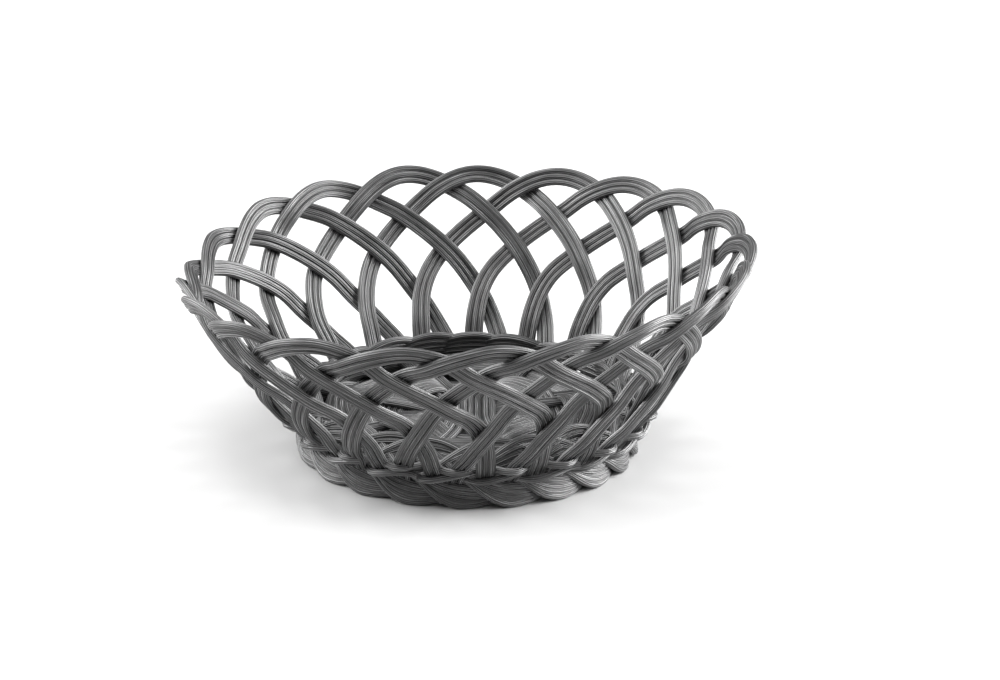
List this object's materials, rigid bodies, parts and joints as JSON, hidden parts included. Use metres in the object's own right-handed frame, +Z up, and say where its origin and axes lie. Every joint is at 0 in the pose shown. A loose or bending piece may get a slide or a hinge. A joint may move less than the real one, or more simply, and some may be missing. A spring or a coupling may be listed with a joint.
{
  "type": "woven fruit basket",
  "caption": "Round open-work fruit basket of woven ribbed plastic rods, with a scalloped rim, a rolled foot and a woven floor.",
  "frame": {"origin": "on the resting plane, under the middle of the round basket", "axes": "+Z up, the axis of the round basket; +X through the crest of arch_01"},
  "size_m": [0.2503, 0.25, 0.0873],
  "materials": {
    "wall_rods": "satin, fine lengthwise ribs",
    "foot_rods": "satin, fine lengthwise ribs",
    "waling_rods": "satin, fine lengthwise ribs",
    "floor_rods": "satin, fine lengthwise ribs"
  },
  "bodies": {
    "root": {"arch_01": "wall_rods", "arch_02": "wall_rods", "arch_03": "wall_rods", "arch_04": "wall_rods", "arch_05": "wall_rods", "arch_06": "wall_rods", "arch_07": "wall_rods", "arch_08": "wall_rods", "arch_09": "wall_rods", "arch_10": "wall_rods", "arch_11": "wall_rods", "arch_12": "wall_rods", "arch_13": "wall_rods", "arch_14": "wall_rods", "arch_15": "wall_rods", "arch_16": "wall_rods", "arch_17": "wall_rods", "arch_18": "wall_rods", "arch_19": "wall_rods", "arch_20": "wall_rods", "arch_21": "wall_rods", "floor_sticks_lower": "floor_rods", "floor_sticks_upper": "floor_rods", "floor_weaver_1": "floor_rods", "floor_weaver_2": "floor_rods", "foot_strand_01": "foot_rods", "foot_strand_02": "foot_rods", "foot_strand_03": "foot_rods", "foot_strand_04": "foot_rods", "foot_strand_05": "foot_rods", "foot_strand_06": "foot_rods", "foot_strand_07": "foot_rods", "foot_strand_08": "foot_rods", "foot_strand_09": "foot_rods", "foot_strand_10": "foot_rods", "foot_strand_11": "foot_rods", "foot_strand_12": "foot_rods", "foot_strand_13": "foot_rods", "foot_strand_14": "foot_rods", "foot_strand_15": "foot_rods", "foot_strand_16": "foot_rods", "foot_strand_17": "foot_rods", "foot_strand_18": "foot_rods", "foot_strand_19": "foot_rods", "foot_strand_20": "foot_rods", "foot_strand_21": "foot_rods", "inner_ring_rod_1": "waling_rods", "inner_ring_rod_2": "waling_rods", "inner_ring_rod_3": "waling_rods", "waling_lower_back": "waling_rods", "waling_lower_front": "waling_rods", "waling_upper": "waling_rods"}
  },
  "joints": []
}
